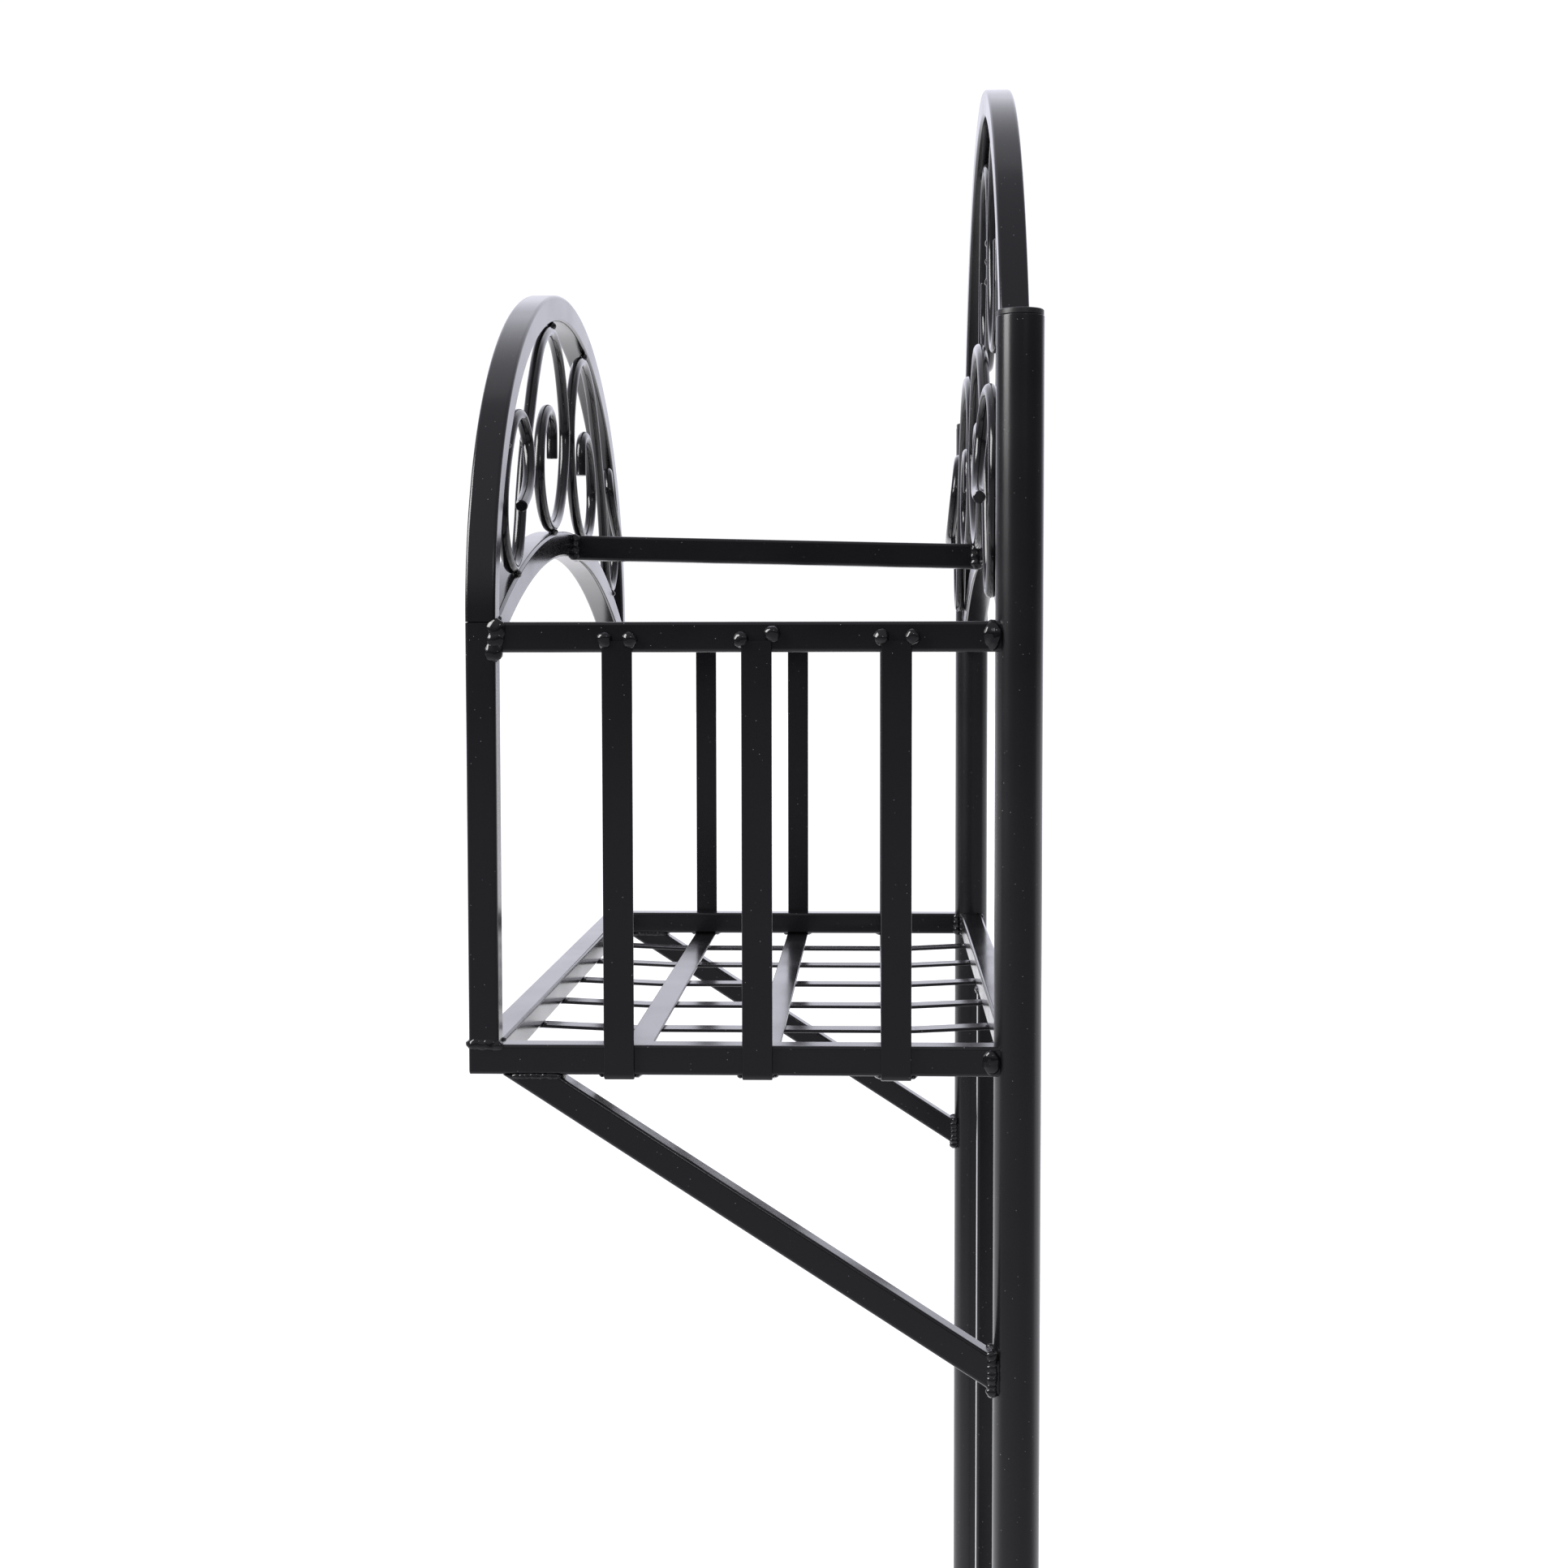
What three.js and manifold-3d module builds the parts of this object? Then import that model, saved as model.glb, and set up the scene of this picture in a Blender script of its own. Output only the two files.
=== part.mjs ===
// Garden trellis frame in welded steel: two round posts carry a deep open basket shelf that runs
// from a low scrolled front arch to a tall scrolled back arch.
// Millimetres, +Z up, +Y towards the back, ground at Z = 0, the post centres on Y = 0.
import * as THREE from "three";
import { mergeVertices } from "three/addons/utils/BufferGeometryUtils.js";
import Module from "manifold-3d";

const wasm = await Module();
wasm.setup();

// Bar stock
const TUBE = 16; // square tube, across the flats
const TUBE_WALL = 1.2;
const POST_DIA = 25; // round post tube
const POST_WALL = 1.5;
const FLAT_WIDTH = 16; // flat bar of the straps and the floor
const FLAT_THICK = 2;
const ROD_DIA = 7; // round rod of the scrolls
const SEAM = 0.3; // room left for the weld between two pieces

// Frame
const POST_SPACING = 625; // centre to centre
const SHELF_HEIGHT = 900; // ground to the underside of the basket
const POST_ABOVE_SHELF = 400; // underside of the basket to the post tops
const BASKET_REACH = 290; // post centres to the front of the basket
const RAIL_TOP = 239; // underside of the basket to the top of its side rails
const LOW_RAIL_HEIGHT = 150; // ground to the underside of the rail near the feet
const PLUG_LENGTH = 12; // depth of the push-in plugs

// Arches, each rise measured on the tube's centreline from the top of the side rails
const FRONT_ARCH_RISE = 203;
const BACK_ARCH_RISE = 331;
const BACK_LEG_DROP = 16; // straight tail of the tall arch below the rail tops
const FRONT_INNER_RISE = 54; // side rail tops to the crown of the shallow arch, centreline
const FRONT_INNER_DROP = 4.8; // side rail tops down to its ends, centreline
const BACK_INNER_RISE = 47.5;
const BACK_INNER_DROP = 3.3;

const TIE_DROP = 2; // the tie bar's centre below the centres of the inner arches

// Basket
const STRAP_PITCH = 73;
const STRAP_MIDDLE = -137; // the middle of the three straps, front to back
const STRAP_TOP = 229; // underside of the basket to the strap ends
const FLOOR_BARS = 6;
const FLOOR_PITCH = 96;
const FLOOR_LAP = 14; // floor bar under the front and the rear rail
const FLOOR_BEND = 4; // floor bar straightens this far in front of a strap

// Braces below the basket
const BRACE_FOOT = 257.8; // post centres to the brace's middle at the basket
const BRACE_ANGLE = THREE.MathUtils.degToRad(32.9);

// Scrolls
const SCROLL_SEAT = 0.7; // rod skin to the arch it is welded to
const CURL_LIFT = ROD_DIA; // a curl's free end stands one rod out of the panel
const LOW_SCROLL_RISE = 174; // envelope of the back panel's lower pair: its crown
const LOW_SCROLL_FLARE = 105.3; // its foot beyond the tall arch's centreline
const LOW_SCROLL_SPREAD = 35.2; // outer curls of that pair beyond the tall arch's centreline
const HIGH_SCROLL_FOOT = 122; // rail tops to the bottom of the upper pair

const STEEL = { color: 0x1d1d20, roughness: 0.38, metalness: 0.35 };
const PLASTIC = { color: 0x161618, roughness: 0.6, metalness: 0 };

const HALF_SPACING = POST_SPACING / 2;
const HALF_TUBE = TUBE / 2;
const POST_RADIUS = POST_DIA / 2;
const POST_TOP = SHELF_HEIGHT + POST_ABOVE_SHELF;
const SPRING = SHELF_HEIGHT + RAIL_TOP; // where every arch starts to bend
const FRONT_Y = -BASKET_REACH + HALF_TUBE; // centre plane of the front panel
const BACK_HALF = HALF_SPACING - POST_RADIUS - SEAM - HALF_TUBE; // tall arch, centreline
const LOW_SCROLL_HALF = BACK_HALF + LOW_SCROLL_SPREAD;
const LOW_SCROLL_CROWN = BACK_HALF + LOW_SCROLL_FLARE;
const BRACE_RISE = Math.tan(BRACE_ANGLE);
const ROD_RADIUS = ROD_DIA / 2;

const part = new THREE.Group();
part.name = "metal_trellis_arch";

// One closed body from a three.js geometry.
function solidOf(geometry) {
  const plain = geometry.clone();
  plain.deleteAttribute("normal");
  plain.deleteAttribute("uv");
  const merged = mergeVertices(plain, 1e-3);
  return new wasm.Manifold(
    new wasm.Mesh({
      numProp: 3,
      vertProperties: merged.attributes.position.array,
      triVerts: new Uint32Array(merged.index.array),
    }),
  );
}

function geometryOf(solid) {
  const mesh = solid.getMesh();
  const indexed = new THREE.BufferGeometry()
    .setAttribute("position", new THREE.BufferAttribute(mesh.vertProperties, mesh.numProp))
    .setIndex(new THREE.BufferAttribute(mesh.triVerts, 1));
  const flat = indexed.toNonIndexed();
  flat.computeVertexNormals();
  return flat;
}

function add(name, geometry, finish = STEEL) {
  const mesh = new THREE.Mesh(geometry, new THREE.MeshStandardMaterial(finish));
  mesh.name = name;
  part.add(mesh);
}

// Both hands of a piece: side is -1 for the left, +1 for the right.
function pair(name, make, finish) {
  add(name + "_left", make(-1), finish);
  add(name + "_right", make(1), finish);
}

function squareShape(size) {
  const half = size / 2;
  return new THREE.Shape([
    new THREE.Vector2(-half, -half),
    new THREE.Vector2(half, -half),
    new THREE.Vector2(half, half),
    new THREE.Vector2(-half, half),
  ]);
}

function squareRing() {
  const ring = squareShape(TUBE);
  ring.holes.push(squareShape(TUBE - 2 * TUBE_WALL));
  return ring;
}

// A shape pushed straight through space; across, up and along say where its axes point.
function pushed(shape, length, origin, across, up, segments = 1) {
  const along = new THREE.Vector3().crossVectors(across, up);
  return new THREE.ExtrudeGeometry(shape, {
    depth: length,
    bevelEnabled: false,
    curveSegments: segments,
  }).applyMatrix4(new THREE.Matrix4().makeBasis(across, up, along).setPosition(origin));
}

const X = new THREE.Vector3(1, 0, 0);
const Y = new THREE.Vector3(0, 1, 0);
const Z = new THREE.Vector3(0, 0, 1);
const at = (x, y, z) => new THREE.Vector3(x, y, z);

const tubeX = (x0, x1, y, z) => pushed(squareRing(), x1 - x0, at(x0, y, z), Y, Z);
const tubeY = (x, y0, y1, z) => pushed(squareRing(), y1 - y0, at(x, y0, z), Z, X);
const tubeZ = (x, y, z0, z1) => pushed(squareRing(), z1 - z0, at(x, y, z0), X, Y);

function box(x0, x1, y0, y1, z0, z1) {
  return new THREE.BoxGeometry(x1 - x0, y1 - y0, z1 - z0).translate(
    (x0 + x1) / 2,
    (y0 + y1) / 2,
    (z0 + z1) / 2,
  );
}

// The round saddle a post leaves in whatever is welded against it.
const SADDLE_SIDES = 48;
const saddles = [-1, 1].map((side) =>
  solidOf(
    new THREE.CylinderGeometry(POST_RADIUS + SEAM, POST_RADIUS + SEAM, POST_TOP, SADDLE_SIDES)
      .rotateX(Math.PI / 2)
      .translate(side * HALF_SPACING, 0, POST_TOP / 2),
  ),
);
function saddled(geometry) {
  return geometryOf(saddles.reduce((left, saddle) => left.subtract(saddle), solidOf(geometry)));
}

// Semi-elliptical arch with straight tails, bent in the plane Y = y.
class ArchLine extends THREE.Curve {
  constructor(half, rise, tail, y) {
    super();
    Object.assign(this, { half, rise, tail, y });
  }
  getPoint(t, target = new THREE.Vector3()) {
    const bend = Math.PI * this.half;
    const way = t * (bend + 2 * this.tail);
    if (way < this.tail) return target.set(-this.half, this.y, SPRING - this.tail + way);
    const after = way - this.tail - bend;
    if (after > 0) return target.set(this.half, this.y, SPRING - after);
    const angle = Math.PI * (1 - (way - this.tail) / bend);
    return target.set(
      this.half * Math.cos(angle),
      this.y,
      SPRING + this.rise * Math.sin(angle),
    );
  }
}

// Shallow circular arch: its crown, its ends and the clear span set its radius.
function shallow(half, rise, drop) {
  const height = rise + drop;
  return { half, crown: SPRING + rise, radius: (half ** 2 + height ** 2) / (2 * height) };
}
const frontInner = shallow(HALF_SPACING - HALF_TUBE, FRONT_INNER_RISE, FRONT_INNER_DROP);
const backInner = shallow(BACK_HALF - HALF_TUBE, BACK_INNER_RISE, BACK_INNER_DROP);

class ShallowLine extends THREE.Curve {
  constructor(arc, reach, y) {
    super();
    Object.assign(this, { ...arc, swing: Math.asin(reach / arc.radius), y });
  }
  getPoint(t, target = new THREE.Vector3()) {
    const angle = (2 * t - 1) * this.swing;
    return target.set(
      this.radius * Math.sin(angle),
      this.y,
      this.crown - this.radius * (1 - Math.cos(angle)),
    );
  }
}

function bent(shape, path, steps, segments = 1) {
  return new THREE.ExtrudeGeometry(shape, {
    extrudePath: path,
    steps,
    bevelEnabled: false,
    curveSegments: segments,
  });
}

const ARCH_STEPS = 40;
const SHALLOW_STEPS = 20;
const SPARE = 20; // trimmed off beyond each end

const frontArchLine = new ArchLine(HALF_SPACING, FRONT_ARCH_RISE, 0, FRONT_Y);
const backArchLine = new ArchLine(BACK_HALF, BACK_ARCH_RISE, BACK_LEG_DROP, 0);

// The inner arch ends on the tubes beside it and clears the big arch above it.
function innerArch(arc, y, bigArch) {
  const path = new ShallowLine(arc, arc.half + SPARE, y);
  const half = arc.half - SEAM;
  const room = box(-half, half, y - TUBE, y + TUBE, SHELF_HEIGHT, POST_TOP);
  return geometryOf(
    solidOf(bent(squareRing(), path, SHALLOW_STEPS)).intersect(solidOf(room)).subtract(solidOf(bigArch)),
  );
}
const clearance = () => squareShape(TUBE + 2 * SEAM);

// Round post, its top cap and its foot plug
function postTube(side) {
  const ring = new THREE.Shape().absarc(0, 0, POST_RADIUS, 0, 2 * Math.PI);
  ring.holes.push(new THREE.Path().absarc(0, 0, POST_RADIUS - POST_WALL, 0, 2 * Math.PI));
  const bottom = FOOT_THICK + SEAM;
  const top = POST_TOP - CAP_THICK - SEAM;
  return pushed(ring, top - bottom, at(side * HALF_SPACING, 0, bottom), X, Y, POST_SIDES / 2);
}

const POST_SIDES = 32;
const CAP_THICK = 3;
const FOOT_THICK = 3;
const CAP_INSET = 0.3; // the plug heads are a touch smaller than the tube
const CAP_EDGE = 0.8; // rounded edge of a plug head
const PLUG_FIT = 0.3; // plug stem to the inside of its tube

// A round push-in plug: head from z = 0 to thick, stem below it.
function roundPlug(thick) {
  const head = POST_RADIUS - CAP_INSET;
  const stem = POST_RADIUS - POST_WALL - PLUG_FIT;
  const profile = [
    [0, -PLUG_LENGTH],
    [stem, -PLUG_LENGTH],
    [stem, 0],
    [head, 0],
    [head, thick - CAP_EDGE],
    [head - CAP_EDGE, thick],
    [0, thick],
  ].map(([r, z]) => new THREE.Vector2(r, z));
  return new THREE.LatheGeometry(profile, POST_SIDES).rotateX(Math.PI / 2);
}

pair("post", postTube);
pair(
  "post_cap",
  (side) => roundPlug(CAP_THICK).translate(side * HALF_SPACING, 0, POST_TOP - CAP_THICK),
  PLASTIC,
);
pair(
  "foot_plug",
  (side) =>
    roundPlug(FOOT_THICK).rotateX(Math.PI).translate(side * HALF_SPACING, 0, FOOT_THICK),
  PLASTIC,
);

// Arches
add("back_arch", bent(squareRing(), backArchLine, ARCH_STEPS + 2));
add("back_inner_arch", innerArch(backInner, 0, bent(clearance(), backArchLine, ARCH_STEPS + 2)));
add("front_arch", bent(squareRing(), frontArchLine, ARCH_STEPS).translate(0, 0, SEAM));
add(
  "front_inner_arch",
  innerArch(frontInner, FRONT_Y, bent(clearance(), frontArchLine, ARCH_STEPS).translate(0, 0, SEAM)),
);
pair("front_leg", (side) =>
  tubeZ(side * HALF_SPACING, FRONT_Y, SHELF_HEIGHT + TUBE + SEAM, SPRING),
);

// Basket rails
const END_PLUG_HEAD = 1;
pair("top_side_rail", (side) =>
  saddled(tubeY(side * HALF_SPACING, FRONT_Y + HALF_TUBE + SEAM, 0, SPRING - HALF_TUBE)),
);
pair("bottom_side_rail", (side) =>
  saddled(
    tubeY(
      side * HALF_SPACING,
      -BASKET_REACH + END_PLUG_HEAD + SEAM,
      0,
      SHELF_HEIGHT + HALF_TUBE,
    ),
  ),
);
pair(
  "rail_end_plug",
  (side) => {
    const x = side * HALF_SPACING;
    const z = SHELF_HEIGHT + HALF_TUBE;
    const stem = HALF_TUBE - TUBE_WALL - PLUG_FIT;
    const headBack = -BASKET_REACH + END_PLUG_HEAD;
    const head = box(
      x - HALF_TUBE, x + HALF_TUBE, -BASKET_REACH, headBack, z - HALF_TUBE, z + HALF_TUBE);
    const body = box(
      x - stem, x + stem, headBack - SEAM, headBack + PLUG_LENGTH, z - stem, z + stem);
    return geometryOf(solidOf(head).add(solidOf(body)));
  },
  PLASTIC,
);
const betweenRails = HALF_SPACING - HALF_TUBE - SEAM;
add(
  "front_bottom_rail",
  tubeX(-betweenRails, betweenRails, FRONT_Y, SHELF_HEIGHT + HALF_TUBE),
);
add(
  "rear_bottom_rail",
  saddled(tubeX(-betweenRails, betweenRails, 0, SHELF_HEIGHT + HALF_TUBE)),
);
add(
  "low_cross_rail",
  saddled(tubeX(-HALF_SPACING, HALF_SPACING, 0, LOW_RAIL_HEIGHT + HALF_TUBE)),
);
add("centre_bar", tubeZ(0, 0, LOW_RAIL_HEIGHT + TUBE + SEAM, SHELF_HEIGHT - SEAM));

// Tie bar from the front inner arch down to the back one
{
  const from = at(0, FRONT_Y + HALF_TUBE + SEAM, SPRING + FRONT_INNER_RISE - TIE_DROP);
  const to = at(0, -HALF_TUBE - SEAM, SPRING + BACK_INNER_RISE - TIE_DROP);
  const run = to.clone().sub(from);
  const over = SPARE / run.length();
  const start = from.clone().addScaledVector(run, -over);
  const up = new THREE.Vector3().crossVectors(run, X).negate().normalize();
  const long = pushed(squareRing(), run.length() + 2 * SPARE, start, up, X);
  const room = box(-TUBE, TUBE, from.y, to.y, SHELF_HEIGHT, POST_TOP);
  add("tie_bar", geometryOf(solidOf(long).intersect(solidOf(room))));
}

// Straps: flat bar folded round the outside of both side rails and under them
function strap(y) {
  const inside = HALF_SPACING + HALF_TUBE + SEAM;
  const outside = inside + FLAT_THICK;
  const top = SHELF_HEIGHT + STRAP_TOP;
  const floor = SHELF_HEIGHT - SEAM;
  const base = floor - FLAT_THICK;
  const fold = FLAT_THICK; // outer corner radius
  const shape = new THREE.Shape()
    .moveTo(-outside, top)
    .lineTo(-outside, base + fold)
    .absarc(-outside + fold, base + fold, fold, Math.PI, 1.5 * Math.PI)
    .lineTo(outside - fold, base)
    .absarc(outside - fold, base + fold, fold, -0.5 * Math.PI, 0)
    .lineTo(outside, top)
    .lineTo(inside, top)
    .lineTo(inside, floor)
    .lineTo(-inside, floor)
    .lineTo(-inside, top);
  return pushed(shape, FLAT_WIDTH, at(0, y + FLAT_WIDTH / 2, 0), X, Z, 3);
}
["front", "middle", "rear"].forEach((place, i) =>
  add("strap_" + place, strap(STRAP_MIDDLE + (i - 1) * STRAP_PITCH)),
);

// Floor bars: flat bar under the straps, its ends bent up to the front and the rear rail
function floorBar(x) {
  const high = SHELF_HEIGHT - SEAM;
  const low = high - FLAT_THICK - SEAM;
  const frontEdge = FRONT_Y + HALF_TUBE;
  const firstStrap = STRAP_MIDDLE - STRAP_PITCH - FLAT_WIDTH / 2 - FLOOR_BEND;
  const lastStrap = STRAP_MIDDLE + STRAP_PITCH + FLAT_WIDTH / 2 + FLOOR_BEND;
  const upper = [
    [frontEdge - FLOOR_LAP, high],
    [frontEdge, high],
    [firstStrap, low],
    [lastStrap, low],
    [-HALF_TUBE, high],
    [-HALF_TUBE + FLOOR_LAP, high],
  ];
  const lower = upper.map(([y, z]) => [y, z - FLAT_THICK]).reverse();
  const shape = new THREE.Shape(
    [...upper.reverse(), ...lower.reverse()].map(([y, z]) => new THREE.Vector2(y, z)),
  );
  return pushed(shape, FLAT_WIDTH, at(x - FLAT_WIDTH / 2, 0, 0), Y, Z);
}
for (let i = 0; i < FLOOR_BARS; i++)
  add("floor_bar_" + (i + 1), floorBar((i - (FLOOR_BARS - 1) / 2) * FLOOR_PITCH));

// Braces: square tube from under each side rail down to the post
function brace(side) {
  const x = side * HALF_SPACING;
  const down = at(0, Math.cos(BRACE_ANGLE), -Math.sin(BRACE_ANGLE));
  const length = BRACE_FOOT / Math.cos(BRACE_ANGLE);
  const start = at(x, -BRACE_FOOT, SHELF_HEIGHT).addScaledVector(down, -2 * TUBE);
  const up = new THREE.Vector3().crossVectors(X, down);
  const long = pushed(squareRing(), length + 2 * TUBE, start, up, X);
  const room = box(
    x - TUBE, x + TUBE, -2 * BASKET_REACH, 0,
    SHELF_HEIGHT - 2 * BRACE_FOOT * BRACE_RISE, SHELF_HEIGHT - SEAM);
  return saddled(geometryOf(solidOf(long).intersect(solidOf(room))));
}
pair("brace", brace);

// Scrolls. Each row of a table is one point of the bent rod: its place across the half panel, its
// height between the panel's lower and upper edge, and how far it stands out of the panel, as
// shares of 1.
const S_SCROLL = [
  [0.826, 0.461, 1],
  [0.753, 0.442, 1],
  [0.699, 0.514, 0.85],
  [0.683, 0.647, 0.6],
  [0.713, 0.821, 0.3],
  [0.773, 0.916, 0.1],
  [0.846, 0.889, 0],
  [0.899, 0.752, 0],
  [0.896, 0.447, 0],
  [0.852, 0.144, 0],
  [0.789, 0, 0],
  [0.729, 0.037, 0],
  [0.693, 0.182, 0],
  [0.666, 0.349, 0],
  [0.623, 0.531, 0],
  [0.559, 0.685, 0],
  [0.5, 0.821, 0],
  [0.406, 0.955, 0],
  [0.266, 0.985, 0],
  [0.15, 0.87, 0],
  [0.073, 0.668, 0],
  [0.043, 0.468, 0],
  [0.08, 0.224, 0],
  [0.167, 0.044, 0],
  [0.286, 0.002, 0],
  [0.38, 0.101, 0],
  [0.43, 0.281, 0],
  [0.42, 0.46, 0],
  [0.373, 0.566, 0],
  [0.306, 0.594, 0],
  [0.246, 0.513, 0],
  [0.24, 0.343, 0],
];
const C_SCROLL = [
  [0.308, 0.623, 0],
  [0.322, 0.473, 0],
  [0.265, 0.318, 0],
  [0.161, 0.275, 0],
  [0.068, 0.352, 0],
  [0.018, 0.524, 0],
  [0.029, 0.717, 0],
  [0.093, 0.875, 0],
  [0.208, 0.974, 0],
  [0.329, 0.989, 0],
  [0.394, 0.836, 0],
  [0.426, 0.583, 0],
  [0.44, 0.298, 0],
  [0.426, 0.03, 0],
];

const rodShape = () => new THREE.Shape().absarc(0, 0, ROD_RADIUS, 0, 2 * Math.PI);
const ROD_SIDES = 8;
const NEAR_MIDDLE = ROD_RADIUS + SEAM; // a mirrored pair meets on the centreline

// Height of an ellipse and of a shallow inner arch over the point x.
const ellipse = (x, half, rise) => SPRING + rise * Math.sqrt(1 - (x / half) ** 2);
function innerTop(x, arc) {
  return arc.crown - arc.radius + Math.sqrt((arc.radius + HALF_TUBE) ** 2 - x ** 2);
}

function scroll(table, side, panel, steps) {
  const points = table.map(([u, v, lift]) => {
    const x = Math.max(u * panel.half, NEAR_MIDDLE);
    const low = panel.low(x);
    return at(side * x, panel.y + lift * panel.lift, low + v * (panel.high(x) - low));
  });
  const path = new THREE.CatmullRomCurve3(points, false, "centripetal");
  return bent(rodShape(), path, steps, ROD_SIDES / 2);
}

const seat = ROD_RADIUS + SCROLL_SEAT;
const frontHalf = HALF_SPACING - HALF_TUBE - seat;
const frontPanel = {
  half: frontHalf,
  y: FRONT_Y + HALF_TUBE - ROD_RADIUS,
  lift: CURL_LIFT,
  low: (x) => innerTop(x, frontInner) + seat,
  high: (x) => ellipse(x, frontHalf, FRONT_ARCH_RISE - HALF_TUBE - seat),
};
// The lower pair of the back panel lies on the front faces of the tubes.
const backLowPanel = {
  half: LOW_SCROLL_HALF - HALF_TUBE - seat,
  y: -HALF_TUBE - SEAM - ROD_RADIUS,
  lift: -CURL_LIFT,
  low: (x) => innerTop(x, backInner) - SEAM,
  high: (x) => ellipse(x, LOW_SCROLL_CROWN, LOW_SCROLL_RISE),
};
const backHalf = BACK_HALF - HALF_TUBE - seat;
const backHighPanel = {
  half: backHalf,
  y: 0,
  lift: 0,
  low: () => SPRING + HIGH_SCROLL_FOOT,
  high: (x) => ellipse(x, backHalf, BACK_ARCH_RISE - HALF_TUBE - seat),
};
const S_STEPS = 62;
const C_STEPS = 34;
pair("front_scroll", (side) => scroll(S_SCROLL, side, frontPanel, S_STEPS));
pair("back_scroll_lower", (side) => scroll(S_SCROLL, side, backLowPanel, S_STEPS));
pair("back_scroll_upper", (side) => scroll(C_SCROLL, side, backHighPanel, C_STEPS));

export default part;
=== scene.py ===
# %% [markdown]
# # A welded trellis frame with a basket shelf
# The real object is bent and welded from a few kinds of bar: square tube, round tube, flat bar and
# round rod, then coated in satin black powder. The engineering model gives every bar its place and
# its size. In these cells each bar gets its real surface: rounded corners, round rods, weld beads
# and a coat that catches the light.

# %% Load the frame and note its size
import math

import bmesh
import bpy
from mathutils import Matrix, Vector, noise


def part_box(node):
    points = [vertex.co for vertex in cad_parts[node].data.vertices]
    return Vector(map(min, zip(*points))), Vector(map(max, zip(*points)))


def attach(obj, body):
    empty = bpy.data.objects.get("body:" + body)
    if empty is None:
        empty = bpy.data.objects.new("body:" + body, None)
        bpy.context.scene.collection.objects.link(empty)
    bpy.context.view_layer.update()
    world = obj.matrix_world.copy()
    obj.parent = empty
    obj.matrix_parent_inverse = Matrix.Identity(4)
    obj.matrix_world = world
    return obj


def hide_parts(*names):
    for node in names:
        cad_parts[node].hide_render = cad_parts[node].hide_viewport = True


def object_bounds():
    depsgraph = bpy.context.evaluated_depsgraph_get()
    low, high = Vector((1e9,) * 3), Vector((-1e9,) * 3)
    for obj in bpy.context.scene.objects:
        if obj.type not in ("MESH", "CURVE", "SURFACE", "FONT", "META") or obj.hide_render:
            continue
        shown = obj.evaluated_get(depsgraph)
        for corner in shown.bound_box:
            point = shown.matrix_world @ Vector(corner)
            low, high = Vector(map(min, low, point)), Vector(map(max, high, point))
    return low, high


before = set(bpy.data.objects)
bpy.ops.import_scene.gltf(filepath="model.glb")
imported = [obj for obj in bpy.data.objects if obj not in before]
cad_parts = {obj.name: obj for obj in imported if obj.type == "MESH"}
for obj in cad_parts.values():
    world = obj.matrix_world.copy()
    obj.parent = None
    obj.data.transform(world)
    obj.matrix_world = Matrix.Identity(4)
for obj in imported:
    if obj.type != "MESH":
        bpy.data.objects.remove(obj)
cad_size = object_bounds()
print("CAD pieces:", len(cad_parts), "size", [round(c, 3) for c in cad_size[1] - cad_size[0]])

# %% [markdown]
# ## Sizes read from the solids
# The post radius, the tube width, the rail heights and the arch spans come from the boxes round the
# solids, so the looks follow the engineering model when a size changes. A box can't give a slant, a
# bend or a gap, so those few are named here and have to match the model's own values.

# %% Read the main sizes
MM = 0.001


def middle(node):
    low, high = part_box(node)
    return (low + high) / 2


def size_of(node):
    low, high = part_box(node)
    return high - low


TUBE = size_of("front_leg_right").x
POST_X = middle("post_right").x
POST_R = size_of("post_right").x / 2
FLAT_W = size_of("strap_middle").y
FLAT_T = 2 * MM
ROD_R = size_of("back_scroll_upper_right").y / 2
RAIL_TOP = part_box("top_side_rail_right")[1].z
RAIL_X = middle("top_side_rail_right").x
BASKET_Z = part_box("bottom_side_rail_right")[0].z
FRONT_Y = middle("front_arch").y
SEAM = 0.3 * MM
SCROLL_GAP = 0.7 * MM
TUBE_CORNER = 1.9 * MM
BRACE_ANGLE = math.radians(32.9)
BRACE_TOP_Y = 257.8 * MM
FRONT_INNER_DROP, BACK_INNER_DROP = 4.8 * MM, 3.3 * MM
FLOOR_BEND = 4 * MM
FLOOR_BARS = range(1, 7)
HALF = TUBE / 2
print("tube %.1f mm, post %.1f mm, rod %.1f mm" % (TUBE / MM, 2 * POST_R / MM, 2 * ROD_R / MM))

# %% [markdown]
# ## Sections
# Square tube is rolled from strip, so its corners are round, not sharp. That radius is what draws
# the thin bright line along every edge. A section is a ring of points; pushing the ring along a
# line makes the bar. A bevel modifier on a box could do straight bars only, and the arches need the
# same corners, so all bars share these rings.


# %% Make the section rings
def rounded_ring(width, height, radius, steps=5):
    ring = []
    for cx, cy, start in ((1, 1, 0), (-1, 1, 90), (-1, -1, 180), (1, -1, 270)):
        for i in range(steps + 1):
            a = math.radians(start + 90 * i / steps)
            ring.append(
                (
                    cx * (width / 2 - radius) + radius * math.cos(a),
                    cy * (height / 2 - radius) + radius * math.sin(a),
                )
            )
    return ring


def round_ring(radius, sides):
    return [
        (radius * math.cos(2 * math.pi * i / sides), radius * math.sin(2 * math.pi * i / sides))
        for i in range(sides)
    ]


TUBE_RING = rounded_ring(TUBE, TUBE, TUBE_CORNER)
FLAT_RING = rounded_ring(FLAT_T, FLAT_W, 0.7 * MM, 4)
ROD_RING = round_ring(ROD_R, 20)
print("points round a tube:", len(TUBE_RING), "and round a rod:", len(ROD_RING))

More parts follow.
